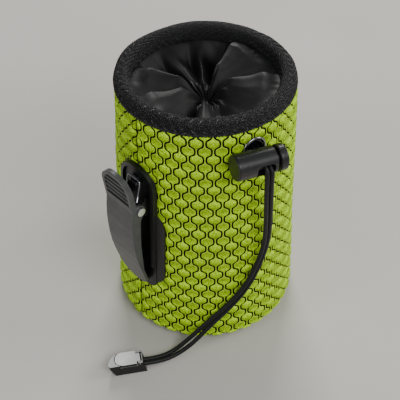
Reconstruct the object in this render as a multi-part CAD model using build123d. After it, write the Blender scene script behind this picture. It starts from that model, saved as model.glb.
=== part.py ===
from build123d import *
import os
from math import sin, cos, tan, radians, degrees, sqrt, pi, hypot

# Drawstring treat pouch with a spring belt clip.
# Millimetres. Origin: centre of the base, on the surface the pouch stands on.
# +Z runs up the pouch, -X points out of the belt clip, the cord lock hangs near -Y.

# ---------------------------------------------------------------- driving sizes
POUCH_H = 136.0            # height over the bound rim
R_BASE = 45.2              # outer radius of the wall at the base
R_TOP = 40.9               # outer radius of the wall under the rim binding
Z_TOP = 129.7              # lower edge of the rim binding
R_CORNER = 6.0             # rounded corner between the wall and the base
T_SHELL = 1.2              # patterned outer fabric with its backing
T_FOAM = 1.6               # foam padding between the fabric and the lining
T_LINER = 0.5              # nylon lining
GAP = 0.05                 # clearance between layers
T_STIFF = 1.2              # plastic stiffener in the base

RIM_R = 40.0               # outer radius of the bound rim at its crest
RIM_INNER = 34.2           # inner radius of the bound rim
HOOP_R = 36.8              # ring that keeps the mouth round
HOOP_D = 2.6

SKIRT_HOLE = 5.0           # radius of the opening left in the gathered skirt
CORD_D = 2.2               # drawcord diameter

EYELET_AZ = -5.6           # degrees round from -Y
EYELET_Z = 120.3
EYELET_OD = 11.6
EYELET_HOLE = 7.4

LOCK_C = (-7.4, -48.35, 119.0)     # middle of the cord lock's axis
LOCK_DIR = (0.9768, -0.2054, -0.0601)
LOCK_D = 12.0
LOCK_LEN = 24.0
LOCK_SLOT = 8.7            # width of the cord slot through the barrel
PLUNGER_D = 7.4
PLUNGER_TRAVEL = 1.5

CLIP_TURN = 6.9            # degrees from -X towards -Y, where the clip is fastened
CLIP_W = 22.6              # width of the clip's base plate
CLIP_Z0, CLIP_Z1 = 33.0, 105.5
FLAP_W = 18.6
PIN_Z = 87.0
PIN_N = 7.0                # pin height over the wall
PIN_D = 3.0

END_Q = (-60.4, -30.6)     # entry end of the cord end, on the floor
END_DIR = (-0.90516, 0.42507)
END_W = 8.0
END_H = 7.2

os.makedirs("parts", exist_ok=True)
SLOPE = (R_BASE - R_TOP) / Z_TOP


def wall_r(z):
    return R_BASE - SLOPE * z


def save(shape, name):
    shape.label = name
    export_step(shape, "parts/" + name + ".step")


def revolved(segments):
    """Solid of revolution about Z. segments: list of (r, z), or ("arc", mid, end)."""
    with BuildPart() as p:
        with BuildSketch(Plane.XZ):
            with BuildLine():
                start = segments[0]
                here = start
                for s in segments[1:]:
                    if s[0] == "arc":
                        ThreePointArc(here, s[1], s[2])
                        here = s[2]
                    else:
                        Line(here, s)
                        here = s
                Line(here, start)
            make_face()
        revolve(axis=Axis.Z)
    return p.part


def radial_cylinder(plane, r, n0, n1):
    c = Cylinder(r, n1 - n0, align=(Align.CENTER, Align.CENTER, Align.MIN))
    return plane * Pos(0, 0, n0) * c


def cone_shell(n0, n1, z0, z1):
    """Layer that follows the tapering wall, from n0 to n1 outside it."""
    return revolved([
        (wall_r(z0) + n0, z0), (wall_r(z0) + n1, z0),
        (wall_r(z1) + n1, z1), (wall_r(z1) + n0, z1),
    ])


# ---------------------------------------------------------------- cord routes
# Two strands leave the lock side by side, hang down the wall, swing round it
# and lie on the floor up to the cord end.
STRAND_A = [
    (-5.0, -44.2, 119.5),
    (-7.1, -54.2, 119.5),
    (-7.0, -53.9, 109.5),
    (-5.5, -52.6, 96.5),
    (-3.0, -50.4, 80.9),
    (-1.9, -48.9, 66.0),
    (-4.5, -47.4, 52.3),
    (-10.1, -46.5, 40.2),
    (-18.4, -43.9, 29.1),
    (-28.2, -39.1, 17.5),
    (-37.4, -35.4, 7.0),
    (-46.2, -33.4, 1.5),
    (-54.9, -31.9, 2.2),
    (-64.1, -27.6, 3.0),
]
STRAND_B = [
    (-2.8, -44.7, 119.4),
    (-4.9, -54.7, 119.4),
    (-4.8, -54.5, 109.5),
    (-3.3, -53.2, 96.5),
    (-0.8, -50.8, 81.1),
    (0.3, -48.9, 66.0),
    (-2.3, -47.4, 51.7),
    (-8.2, -46.8, 38.8),
    (-16.8, -44.5, 27.5),
    (-26.6, -40.3, 15.7),
    (-37.0, -38.2, 5.8),
    (-46.8, -36.0, 1.5),
    (-55.9, -34.0, 2.2),
    (-65.0, -29.7, 3.0),
]


def cord_tube(points, diameter, name=None, radii=None):
    vs = [Vector(*p) for p in points]
    runs = [(b - a) for a, b in zip(vs, vs[1:])]
    if radii is None:
        radii = []
        for i in range(len(runs) - 1):
            turn = runs[i].get_angle(runs[i + 1])
            short = min(runs[i].length, runs[i + 1].length)
            radii.append(0.45 * short / tan(radians(turn / 2)))
    path = FilletPolyline(*vs, radius=radii)
    plane = Plane(origin=vs[0], z_dir=runs[0].normalized())
    tube = sweep(plane * Circle(diameter / 2), path=path)
    if name:
        section = pi * diameter * diameter / 4
        print(name, "length", round(path.length, 2), "radii",
              [round(r, 1) for r in radii],
              "volume / (section x length)", round(tube.volume / (section * path.length), 4))
    return tube


# ---------------------------------------------------------------- eyelet frame
ea = radians(EYELET_AZ)
e_out = Vector(sin(ea), -cos(ea), 0)
slope_a = radians(degrees(SLOPE))
e_norm = Vector(e_out.X * cos(slope_a), e_out.Y * cos(slope_a), sin(slope_a))
e_tan = Vector(cos(ea), sin(ea), 0)
eyelet_plane = Plane(
    origin=(e_out.X * wall_r(EYELET_Z), e_out.Y * wall_r(EYELET_Z), EYELET_Z),
    x_dir=e_tan, z_dir=e_norm)

# clip frame: local x is sideways (-Y), local y is up, local z is out (-X)
def clip_plane(z, n=0.0):
    return Plane(origin=(-(wall_r(z) + n), 0, z), x_dir=(0, -1, 0), z_dir=(-1, 0, 0))


def outline_prism(half_w, z0, z1, top_r, x_from=-60.0, x_to=-30.0, foot_r=2.5):
    """Arch-topped plate outline in the YZ plane, extruded along X."""
    with BuildPart() as p:
        with BuildSketch(Plane(origin=(x_from, 0, 0), x_dir=(0, 1, 0), z_dir=(1, 0, 0))):
            mid = (z0 + z1 - top_r) / 2
            with Locations((0, mid)):
                RectangleRounded(2 * half_w, z1 - top_r - z0, foot_r)
            with Locations((0, (mid + z1 - top_r) / 2)):
                Rectangle(2 * half_w, z1 - top_r - mid)
            with Locations((0, z1 - top_r)):
                Ellipse(half_w, top_r)
        extrude(amount=x_to - x_from)
    return p.part


# ---------------------------------------------------------------- pouch layers
def wall_profile(off, thick, z_lo_gap, z_top):
    """Wall layer with the rounded corner: off is how far inside the outer face it starts."""
    cz = R_CORNER
    cr = wall_r(cz) - R_CORNER
    ro = R_CORNER - off
    ri = ro - thick
    k = 0.70711
    return [
        (cr, cz - ro),
        ("arc", (cr + ro * k, cz - ro * k), (cr + ro, cz)),
        (wall_r(z_top) - off, z_top),
        (wall_r(z_top) - off - thick, z_top),
        (cr + ri, cz),
        ("arc", (cr + ri * k, cz - ri * k), (cr, cz - ri)),
    ]


corner_r = wall_r(R_CORNER) - R_CORNER
eyelet_drill = radial_cylinder(eyelet_plane, EYELET_HOLE / 2 + 0.6, -8, 4)
rivet_z = (43.0, 97.0)
clip_turn = Rot(0, 0, CLIP_TURN)                               # clip parts are drawn at -X, then turned


def rivet_plane(z):
    return clip_plane(z)


rivet_drills = [clip_turn * radial_cylinder(rivet_plane(z), 1.6, -5, 6) for z in rivet_z]

# outer shell: fabric wall, its top tucked under the binding
shell_pts = [
    (corner_r, 0.0),
    ("arc", (corner_r + R_CORNER * 0.70711, R_CORNER * (1 - 0.70711)),
     (corner_r + R_CORNER, R_CORNER)),
    (wall_r(128.6), 128.6),
    (39.85, 130.6),
    (39.75, 132.6),
    (38.55, 132.6),
    (38.55, 130.6),
    (wall_r(128.4) - T_SHELL, 128.4),
    (corner_r + R_CORNER - T_SHELL, R_CORNER),
    ("arc", (corner_r + (R_CORNER - T_SHELL) * 0.70711, R_CORNER - (R_CORNER - T_SHELL) * 0.70711),
     (corner_r, T_SHELL)),
]
outer_shell = revolved(shell_pts) - eyelet_drill
for d in rivet_drills:
    outer_shell -= d
save(outer_shell, "outer_shell")

bottom_panel = Cylinder(corner_r - GAP, T_SHELL, align=(Align.CENTER, Align.CENTER, Align.MIN))
save(bottom_panel, "bottom_panel")

bottom_stiffener = Pos(0, 0, T_SHELL + GAP) * Cylinder(
    corner_r - 0.6, T_STIFF, align=(Align.CENTER, Align.CENTER, Align.MIN))
save(bottom_stiffener, "bottom_stiffener")

foam_off = T_SHELL + GAP
foam_pts = [
    (wall_r(7.0) - foam_off, 7.0),
    (wall_r(126.5) - foam_off, 126.5),
    (wall_r(126.5) - foam_off - T_FOAM, 126.5),
    (wall_r(7.0) - foam_off - T_FOAM, 7.0),
]
foam_padding = revolved(foam_pts) - eyelet_drill
window = clip_turn * outline_prism(14.0, 35.5, 103.5, 8.0)
foam_padding -= window
save(foam_padding, "foam_padding")

backing_layer = cone_shell(-foam_off - 1.3, -foam_off - 0.05, 34.0, 105.0)
backing = backing_layer & outline_prism(13.0, 36.5, 102.5, 8.0)
for z in rivet_z:
    backing -= radial_cylinder(rivet_plane(z), 1.6, -5, 6)
save(clip_turn * backing, "clip_backing_plate")

liner_off = foam_off + T_FOAM + GAP
liner_bot_z = T_SHELL + GAP + T_STIFF + GAP
liner_pts = [
    (wall_r(7.0) - liner_off - 1.3, liner_bot_z + T_LINER + GAP),
    (wall_r(7.0) - liner_off, 7.5),
    (wall_r(128.0) - liner_off, 128.0),
    (wall_r(128.0) - liner_off - T_LINER, 128.0),
    (wall_r(7.0) - liner_off - T_LINER, 7.5),
    (wall_r(7.0) - liner_off - T_LINER - 1.3, liner_bot_z + T_LINER + GAP),
]
liner_wall = revolved(liner_pts) - eyelet_drill
save(liner_wall, "liner_wall")
liner_bottom = Pos(0, 0, liner_bot_z) * Cylinder(
    wall_r(7.0) - liner_off - 0.6, T_LINER, align=(Align.CENTER, Align.CENTER, Align.MIN))
save(liner_bottom, "liner_bottom")

# mouth: binding tape folded over the rim, with a springy hoop inside it
binding_pts = [
    (41.55, 129.0),
    ("arc", (40.95, 133.6), (38.6, 135.7)),
    ("arc", (37.1, 136.0), (35.7, 135.6)),
    ("arc", (34.35, 133.4), (34.2, 129.3)),
    (35.1, 129.3),
    ("arc", (35.3, 133.1), (36.1, 134.6)),
    ("arc", (37.1, 134.95), (38.2, 134.75)),
    ("arc", (39.9, 133.0), (40.5, 129.9)),
    (41.05, 129.0),
]
rim_binding = revolved(binding_pts)
save(rim_binding, "rim_binding")
with BuildPart() as hp:
    with BuildSketch(Plane.XZ):
        with Locations((HOOP_R, 132.4)):
            Circle(HOOP_D / 2)
    revolve(axis=Axis.Z)
save(hp.part, "rim_hoop")

# eyelet: flanged ring outside, washer inside, both in the wall
eyelet = radial_cylinder(eyelet_plane, EYELET_OD / 2, 0.05, 0.75)
eyelet += radial_cylinder(eyelet_plane, EYELET_HOLE / 2 + 0.5, -4.4, 0.4)
eyelet -= radial_cylinder(eyelet_plane, EYELET_HOLE / 2, -8, 4)
save(eyelet, "eyelet_ring")
washer = radial_cylinder(eyelet_plane, EYELET_OD / 2 - 0.5, -4.35, -3.75)
washer -= radial_cylinder(eyelet_plane, EYELET_HOLE / 2 + 0.55, -8, 4)
save(washer, "eyelet_washer")

# ---------------------------------------------------------------- drawcord inside
ax, ay = STRAND_A[0][0], STRAND_A[0][1]
bx, by = STRAND_B[0][0], STRAND_B[0][1]
LOOP_Z = 118.6
LOOP_POINTS = [
    STRAND_A[0],
    (-3.77, -38.33, 119.5),
    (-4.0, -22.0, 118.8),
    (-3.6, -9.6, LOOP_Z),
    (-8.0, -3.4, LOOP_Z),
    (-7.4, 4.6, LOOP_Z),
    (-1.9, 8.6, LOOP_Z),
    (5.2, 7.0, LOOP_Z),
    (8.5, 0.8, LOOP_Z),
    (5.9, -5.6, LOOP_Z),
    (0.4, -10.4, LOOP_Z),
    (-1.1, -22.4, 118.8),
    (-1.57, -38.83, 119.4),
    STRAND_B[0],
]
drawcord_inner = cord_tube(LOOP_POINTS, CORD_D, "drawcord_inner")
save(drawcord_inner, "drawcord_inner")
strand_a = cord_tube(STRAND_A, CORD_D, "drawcord_strand_a")
save(strand_a, "drawcord_strand_a")
strand_b = cord_tube(STRAND_B, CORD_D, "drawcord_strand_b")
save(strand_b, "drawcord_strand_b")

# ---------------------------------------------------------------- closure skirt
# Gathered nylon skirt, sewn under the rim binding and drawn in to a small hole.
# The solid holds the whole depth of its folds; the cord's channel is its inner hem.
skirt_pts = [
    (SKIRT_HOLE, 122.4),
    (9.0, 123.4),
    (22.0, 124.0),
    (30.0, 125.6),
    (33.6, 128.4),
    (35.25, 129.0),
    (35.3, 130.8),
    (36.5, 130.8),
    (36.6, 126.2),
    (32.0, 121.4),
    (22.0, 119.2),
    (12.0, 116.2),
    (7.0, 115.6),
    (SKIRT_HOLE, 116.6),
]
closure_skirt = revolved(skirt_pts)
closure_skirt -= cord_tube(LOOP_POINTS, CORD_D + 0.5)
save(closure_skirt, "closure_skirt")

# ---------------------------------------------------------------- cord lock
ld = Vector(*LOCK_DIR).normalized()
lh = Vector(LOCK_DIR[1], -LOCK_DIR[0], 0).normalized()      # out of the pouch
lock_plane = Plane(origin=LOCK_C, x_dir=lh, z_dir=ld)       # local z along the barrel
s_left, s_right = -LOCK_LEN / 2, LOCK_LEN / 2
s_cap, s_body, s_head = s_left + 4.3, 6.6, 8.3
HOLE_S = 1.0


def along(r, s0, s1):
    return lock_plane * Pos(0, 0, s0) * Cylinder(
        r, s1 - s0, align=(Align.CENTER, Align.CENTER, Align.MIN))


def cross_slot(width, height, s, dz, depth=20.0, corner=2.2):
    """Slot through the barrel, along lh. width is along the barrel."""
    pl = Plane(origin=lock_plane.to_local_coords(Vector(0, 0, 0)) * 0, z_dir=(0, 0, 1))
    up = ld.cross(lh)
    if up.Z < 0:
        up = up * -1
    o = Vector(*LOCK_C) + ld * s + up * dz - lh * (depth / 2)
    plane = Plane(origin=o, x_dir=ld, z_dir=lh)
    return extrude(plane * RectangleRounded(width, height, corner), depth)


barrel = along(LOCK_D / 2, s_cap, s_body) + along(4.85, s_left + 1.5, s_cap)
barrel -= along(PLUNGER_D / 2 + 0.08, s_left + 1.3, s_body + 1)
barrel -= cross_slot(LOCK_SLOT, 6.3, HOLE_S, -1.05, corner=1.8)
save(barrel, "cord_lock_barrel")

endcap = along(LOCK_D / 2, s_left, s_cap - 0.05)
endcap = fillet(endcap.faces().filter_by(GeomType.PLANE).sort_by(lambda f: (f.center() - Vector(*LOCK_C)).dot(ld))[0].edges(), 0.9)
endcap -= along(4.9, s_left + 1.45, s_cap + 1)
save(endcap, "cord_lock_endcap")

plunger = along(PLUNGER_D / 2, -6.0, s_head + 0.5)
head = along(LOCK_D / 2, s_head, s_right)
head = fillet(head.edges().filter_by(GeomType.CIRCLE), 0.8)
plunger += head
SLOT_L, SLOT_R = 0.22, 6.5
plunger -= cross_slot(SLOT_R - SLOT_L, 4.0, (SLOT_L + SLOT_R) / 2, 0.0, corner=1.9)
save(plunger, "cord_lock_plunger")

spring = along(3.3, s_left + 1.6, -6.1) - along(2.5, s_left + 1.0, -5.0)
save(spring, "cord_lock_spring")

# ---------------------------------------------------------------- belt clip
plate = cone_shell(0.15, 1.3, CLIP_Z0 - 2, CLIP_Z1 + 2) & outline_prism(CLIP_W / 2, CLIP_Z0, CLIP_Z1, 11.0)
skirt_plate = cone_shell(0.15, 0.9, CLIP_Z0 - 2, CLIP_Z1 + 2) & outline_prism(15.5, 35.0, 84.0, 12.0, foot_r=8.0)
rail = cone_shell(0.15, 2.5, CLIP_Z0 - 2, CLIP_Z1 + 2) & (
    outline_prism(CLIP_W / 2, 47.0, CLIP_Z1, 11.0, foot_r=0.8)
    - outline_prism(CLIP_W / 2 - 1.9, 40.0, CLIP_Z1 - 1.9, 9.2))
clip_base = plate + skirt_plate + rail
for side in (-1, 1):
    y0 = side * 6.9
    pl = Plane(origin=(-(wall_r(PIN_Z) + PIN_N), y0 - 0.75, PIN_Z), x_dir=(1, 0, 0), z_dir=(0, 1, 0))
    ear = pl * Cylinder(2.7, 1.5, align=(Align.CENTER, Align.CENTER, Align.MIN))
    foot = Pos(-(wall_r(PIN_Z) + PIN_N / 2 + 0.1), y0, PIN_Z - 0.6) * Box(PIN_N - 0.2, 1.5, 5.4)
    brace = Pos(-(wall_r(PIN_Z) + 1.6), y0, PIN_Z - 1.5) * Box(3.0, 1.5, 11.0)
    clip_base += ear + foot + brace
pin_plane = Plane(origin=(-(wall_r(PIN_Z) + PIN_N), -20, PIN_Z), x_dir=(1, 0, 0), z_dir=(0, 1, 0))
pin_bore = pin_plane * Cylinder(PIN_D / 2, 40, align=(Align.CENTER, Align.CENTER, Align.MIN))
clip_base -= pin_bore
clip_base -= revolved([(0, 20), (wall_r(20) + 0.1, 20), (wall_r(120) + 0.1, 120), (0, 120)])
for z in rivet_z:
    clip_base -= radial_cylinder(rivet_plane(z), 1.6, -5, 6)
save(clip_turn * clip_base, "clip_base")

rivets = []
for z in rivet_z:
    rv = radial_cylinder(rivet_plane(z), 1.55, -2.5, 1.8)
    rv += radial_cylinder(rivet_plane(z), 3.0, 1.45, 2.2)
    rivets.append(clip_turn * rv)
save(Compound(children=rivets), "clip_rivets")

pin = pin_plane * Pos(0, 0, 20 - 9.8) * Cylinder(PIN_D / 2, 19.6, align=(Align.CENTER, Align.CENTER, Align.MIN))
for side in (-1, 1):
    pin += pin_plane * Pos(0, 0, 20 + side * 9.9) * Cylinder(2.1, 0.8)
save(clip_turn * pin, "clip_pin")

# flap: a channel 18.6 wide, bowed outwards, with a ribbed thumb tab over the pin


def clip_point(n, z, zref=None):
    return (-(wall_r(z) + n), z)


def side_profile(points, width, y_mid=0.0):
    """Prism across Y with its profile given as (n, z) pairs."""
    with BuildPart() as p:
        with BuildSketch(Plane(origin=(0, y_mid + width / 2, 0), x_dir=(1, 0, 0), z_dir=(0, -1, 0))):
            with BuildLine():
                Polyline(*[clip_point(n, z) for n, z in points], close=True)
            make_face()
        extrude(amount=width)
    return p.part


face_out = [(2.3, 33.2), (3.1, 35.6), (4.6, 40.5), (6.3, 46.0), (8.2, 52.0), (9.8, 58.0),
            (10.9, 64.5), (11.6, 71.0), (11.9, 77.0), (11.8, 83.0), (11.3, 89.0)]
face_in = [(10.1, 89.2), (10.6, 83.0), (10.7, 77.0), (10.4, 71.0), (9.7, 64.7), (8.6, 58.5),
           (7.0, 52.5), (5.1, 46.6), (3.5, 41.2), (2.2, 36.6), (1.7, 33.8)]
flap = side_profile(face_out + face_in, FLAP_W)
flange = face_out[2:] + [(11.4, 91.0), (8.8, 91.0), (6.2, 90.0), (4.5, 88.4), (4.2, 86.2), (5.0, 84.0), (6.6, 81.5),
                         (7.0, 79.0), (7.0, 66.0), (6.2, 56.0), (5.5, 48.0), (4.9, 43.0)]
for side in (-1, 1):
    flap += side_profile(flange, 1.3, side * (FLAP_W / 2 - 0.65))
flap &= outline_prism(FLAP_W / 2, 33.2, 118.0, 9.0, x_from=-75.0, x_to=-20.0, foot_r=8.4)

# thumb tab: arch-topped paddle, leaning out, ribs across its outer face
tab_side = [(11.35, 87.6), (13.6, 100.7), (14.9, 107.4), (14.6, 108.3), (12.7, 108.3), (12.1, 106.5), (9.5, 92.0), (9.8, 87.6)]
tab = side_profile(tab_side, FLAP_W)
tab &= outline_prism(FLAP_W / 2, 70.0, 108.3, 9.3, x_from=-75.0, x_to=-20.0)
dish_side = [(15.0, 91.5), (18.0, 105.6), (13.65, 105.6), (11.05, 91.5)]
dish = side_profile(dish_side, FLAP_W) & outline_prism(FLAP_W / 2 - 1.7, 60.0, 106.3, 7.6, x_from=-75.0, x_to=-20.0)
tab -= dish
for i in range(4):
    z = 93.2 + 3.0 * i
    n0 = 11.05 + (z - 91.5) * 0.186
    rib = side_profile([(n0 - 0.3, z), (n0 + 0.75, z + 0.15), (n0 + 0.95, z + 1.0), (n0, z + 1.5)], FLAP_W)
    rib &= outline_prism(FLAP_W / 2 - 1.8, 60.0, 106.2, 7.5, x_from=-75.0, x_to=-20.0)
    tab += rib
flap += tab
flap -= pin_plane * Cylinder(PIN_D / 2 + 0.05, 40, align=(Align.CENTER, Align.CENTER, Align.MIN))
flap -= pin_plane * Pos(0, 0, 20 - 5.5) * Cylinder(3.1, 11.0, align=(Align.CENTER, Align.CENTER, Align.MIN))
save(clip_turn * flap, "clip_flap")

# torsion spring on the pin: coil sleeve, two legs up to the base plate and one down behind the flap
coil = pin_plane * Pos(0, 0, 20 - 4.5) * (
    Cylinder(2.75, 9.0, align=(Align.CENTER, Align.CENTER, Align.MIN))
    - Cylinder(1.85, 9.0, align=(Align.CENTER, Align.CENTER, Align.MIN)))
px = -(wall_r(PIN_Z) + PIN_N)
leg1 = Plane(origin=(px - 1.8, 0.0, PIN_Z - 1.5), z_dir=(-0.16, 0, -0.987)) * Cylinder(0.4, 6.5, align=(Align.CENTER, Align.CENTER, Align.MIN))
leg2 = Plane(origin=(px + 1.9, -4.0, PIN_Z + 1.2), z_dir=(0.26, 0, 0.9656)) * Cylinder(0.4, 10.5, align=(Align.CENTER, Align.CENTER, Align.MIN))
leg2 += Plane(origin=(px + 1.9, 4.0, PIN_Z + 1.2), z_dir=(0.26, 0, 0.9656)) * Cylinder(0.4, 10.5, align=(Align.CENTER, Align.CENTER, Align.MIN))
clip_spring = coil + leg1 + leg2
save(clip_turn * clip_spring, "clip_spring")

# ---------------------------------------------------------------- cord end
eu = Vector(END_DIR[0], END_DIR[1], 0).normalized()
ew = Vector(-eu.Y, eu.X, 0)
end_plane = Plane(origin=(END_Q[0], END_Q[1], 0), x_dir=eu, z_dir=(0, 0, 1))     # local x towards the rounded end


def end_prism(points, width):
    with BuildPart() as p:
        with BuildSketch(Plane.XZ.offset(-width / 2)):
            with BuildLine():
                Polyline(*points, close=True)
            make_face()
        extrude(amount=width)
    return end_plane * p.part


def end_box(s0, s1, y0, y1, z0, z1):
    return end_plane * Pos((s0 + s1) / 2, (y0 + y1) / 2, (z0 + z1) / 2) * Box(s1 - s0, y1 - y0, z1 - z0)


def end_plan(half_w, s0, s_arc, z0, z1):
    """Plan outline with straight sides and a half-round tip at s_arc + half_w."""
    with BuildPart() as p:
        with BuildSketch(Plane.XY.offset(z0)):
            with BuildLine():
                Polyline((s_arc, -half_w), (s0, -half_w), (s0, half_w), (s_arc, half_w))
                ThreePointArc((s_arc, half_w), (s_arc + half_w, 0), (s_arc, -half_w))
            make_face()
        extrude(amount=z1 - z0)
    return end_plane * p.part


def end_body_plan(half_w, s0, z0, z1):
    """Plan outline whose back side curves round to a corner at the front of the tip."""
    with BuildPart() as p:
        with BuildSketch(Plane.XY.offset(z0)):
            with BuildLine():
                Polyline((10.8, -half_w), (s0, -half_w), (s0, half_w), (17.3, half_w), (18.1, 2.9))
                ThreePointArc((18.1, 2.9), (16.1, -1.6), (10.8, -half_w))
            make_face()
        extrude(amount=z1 - z0)
    return end_plane * p.part


def end_pin(r, y0, y1):
    pl = Plane(origin=(2.4, y0, 6.3), x_dir=(1, 0, 0), z_dir=(0, 1, 0))
    return end_plane * (pl * Cylinder(r, y1 - y0, align=(Align.CENTER, Align.CENTER, Align.MIN)))


hw = END_W / 2
block = end_prism([(-0.9, 0), (14.6, 0), (18.2, END_H), (1.2, END_H)], END_W + 2)
block &= end_body_plan(hw, -3.0, 0, END_H)
lid_zone = end_plan(hw + 0.3, 2.4, 14.9 - hw - 0.3, 5.4, END_H + 1)
lid_zone += end_pin(1.0, -2.65, 2.65)
lid_zone += end_box(2.4, 6.0, -2.65, 2.65, 5.4, END_H + 1)
lid_zone += end_box(-1.5, 2.6, -2.65, 2.65, 6.25, END_H + 1)      # room behind the knuckle for the opened lid
lugs = end_box(1.0, 3.4, -hw, -2.65, 5.0, END_H) + end_box(1.0, 3.4, 2.65, hw, 5.0, END_H)
base = block - lid_zone
base += lugs & block
base -= end_box(4.0, 11.8, -2.9, 2.9, 1.4, 5.5)                 # knot chamber
base -= end_box(-3.0, 4.6, -2.65, 2.65, 1.45, 4.4)              # cord entry
base -= end_pin(0.45, -hw - 1, hw + 1)
save(base, "cord_end_base")

lid = end_plan(hw, 4.0, 14.5 - hw, 5.6, END_H)
lid += end_box(2.4, 4.5, -2.45, 2.45, 5.6, 7.0)
lid += end_pin(0.75, -2.45, 2.45)
lid -= end_pin(0.5, -hw - 1, hw + 1)
save(lid, "cord_end_lid")
save(end_pin(0.45, -hw + 0.2, hw - 0.2), "cord_end_pin")

ua = Vector(*STRAND_A[-1])
ub = Vector(*STRAND_B[-1])
knot_dir = (Vector(*STRAND_A[-1]) - Vector(*STRAND_A[-2])).normalized()
knot_mid = (ua + ub) * 0.5
knot_pl = Plane(origin=knot_mid, z_dir=eu)
knot_pl = Plane(origin=knot_mid, x_dir=ew, z_dir=eu)
knot = knot_pl * Pos(0, 0, 2.3) * Box(4.7, 3.0, 4.6)
knot = fillet(knot.edges(), 0.8)
knot += knot_pl * Pos(0, 0, 0.5) * Box(4.4, 2.6, 1.0)
save(knot, "drawcord_knot")
print("done")
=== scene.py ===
import math

import bpy
import numpy as np
from mathutils import Matrix, Vector


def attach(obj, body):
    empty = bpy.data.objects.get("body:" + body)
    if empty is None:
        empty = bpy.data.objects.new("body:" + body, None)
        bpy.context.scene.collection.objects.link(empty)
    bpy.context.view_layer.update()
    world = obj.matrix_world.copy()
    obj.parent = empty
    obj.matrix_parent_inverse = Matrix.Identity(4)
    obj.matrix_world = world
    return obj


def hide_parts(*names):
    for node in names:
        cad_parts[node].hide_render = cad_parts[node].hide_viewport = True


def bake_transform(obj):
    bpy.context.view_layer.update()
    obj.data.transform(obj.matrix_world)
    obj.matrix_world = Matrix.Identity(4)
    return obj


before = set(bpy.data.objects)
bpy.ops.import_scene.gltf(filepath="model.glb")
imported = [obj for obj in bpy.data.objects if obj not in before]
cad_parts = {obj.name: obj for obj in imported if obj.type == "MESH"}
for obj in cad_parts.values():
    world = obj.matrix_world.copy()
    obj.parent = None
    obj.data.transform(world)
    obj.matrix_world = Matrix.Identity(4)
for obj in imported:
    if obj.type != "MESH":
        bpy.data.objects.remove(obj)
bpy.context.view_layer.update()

MM = 0.001
PI = math.pi
rng = np.random.default_rng(7)

# ------------------------------------------------------------------ sizes (mm)
R_BASE, R_TOP, Z_TOP = 45.2, 40.9, 129.7
SLOPE = (R_BASE - R_TOP) / Z_TOP
R_CORNER = 6.0


def wall_r(z):
    return R_BASE - SLOPE * z


# ------------------------------------------------------------------ camera
scene = bpy.context.scene
cam_data = bpy.data.cameras.new("camera")
cam = bpy.data.objects.new("camera", cam_data)
scene.collection.objects.link(cam)
cam.location = (-0.20749, -0.28015, 0.38653)
target = Vector((0, 0, 0.06799))
cam.rotation_mode = "QUATERNION"
cam.rotation_quaternion = (target - cam.location).to_track_quat("-Z", "Y")
cam_data.sensor_width = 36
cam_data.lens = 85.5
cam_data.shift_x = -0.01354
cam_data.shift_y = -0.04514
cam_data.clip_start = 0.01
cam_data.clip_end = 20
scene.camera = cam


# ------------------------------------------------------------------ mesh helpers
def grid_faces(nu, nv, wrap_u=False, wrap_v=False, flip=False):
    """Quads of a grid stored as index = u * nv + v."""
    uu = np.arange(nu if wrap_u else nu - 1)
    vv = np.arange(nv if wrap_v else nv - 1)
    a, b = np.meshgrid(uu, vv, indexing="ij")
    a1, b1 = (a + 1) % nu, (b + 1) % nv
    q = np.stack([a * nv + b, a1 * nv + b, a1 * nv + b1, a * nv + b1], -1).reshape(-1, 4)
    return q[:, ::-1] if flip else q


def make_mesh(name, co, faces, material=None, smooth=True):
    """co in millimetres."""
    me = bpy.data.meshes.new(name)
    co = np.asarray(co, float) * MM
    faces = [list(map(int, f)) for f in faces]
    me.from_pydata(co.tolist(), [], faces)
    me.validate()
    if smooth:
        me.polygons.foreach_set("use_smooth", [True] * len(me.polygons))
    ob = bpy.data.objects.new(name, me)
    scene.collection.objects.link(ob)
    if material:
        me.materials.append(material)
    return ob


def tube(points, radius, sides, closed=False, twist=None, cap=True, rad_fn=None):
    """Vertices and faces of a tube along points (N, 3), parallel-transported frames."""
    p = np.asarray(points, float)
    n = len(p)
    if closed:
        t = np.roll(p, -1, 0) - np.roll(p, 1, 0)
    else:
        t = np.gradient(p, axis=0)
    t /= np.linalg.norm(t, axis=1)[:, None]
    ref = np.array([0.0, 0.0, 1.0])
    if abs(t[0] @ ref) > 0.9:
        ref = np.array([1.0, 0.0, 0.0])
    a = np.cross(t[0], ref)
    a /= np.linalg.norm(a)
    frames = [a]
    for i in range(1, n):
        a = a - (a @ t[i]) * t[i]
        a /= np.linalg.norm(a)
        frames.append(a)
    A = np.array(frames)
    B = np.cross(t, A)
    th = np.linspace(0, 2 * PI, sides, endpoint=False)
    if closed:     # spread the frame's leftover turn along the loop
        a0 = A[0] - (A[0] @ t[-1]) * t[-1]
        left = math.atan2((A[-1] @ np.cross(t[-1], a0)), A[-1] @ a0)
        ang = th[None, :] - (np.arange(n) / n * -left)[:, None]
    else:
        ang = np.repeat(th[None, :], n, 0)
    length = np.r_[0, np.cumsum(np.linalg.norm(np.diff(p, axis=0), axis=1))]
    r = np.full((n, sides), float(radius))
    if rad_fn is not None:
        r = r + rad_fn(length[:, None], ang)
    co = p[:, None, :] + r[..., None] * (np.cos(ang)[..., None] * A[:, None, :] + np.sin(ang)[..., None] * B[:, None, :])
    faces = grid_faces(n, sides, wrap_u=closed, wrap_v=True, flip=True).tolist()
    if cap and not closed:
        faces.append(list(range(sides)))
        faces.append([(n - 1) * sides + i for i in range(sides)][::-1])
    return co.reshape(-1, 3), faces


def join(parts):
    cos, faces, off = [], [], 0
    for co, fs in parts:
        cos.append(co)
        faces += [[int(i) + off for i in f] for f in fs]
        off += len(co)
    return np.concatenate(cos), faces


def smoothstep(x, a, b):
    t = np.clip((x - a) / (b - a), 0, 1)
    return t * t * (3 - 2 * t)


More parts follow.
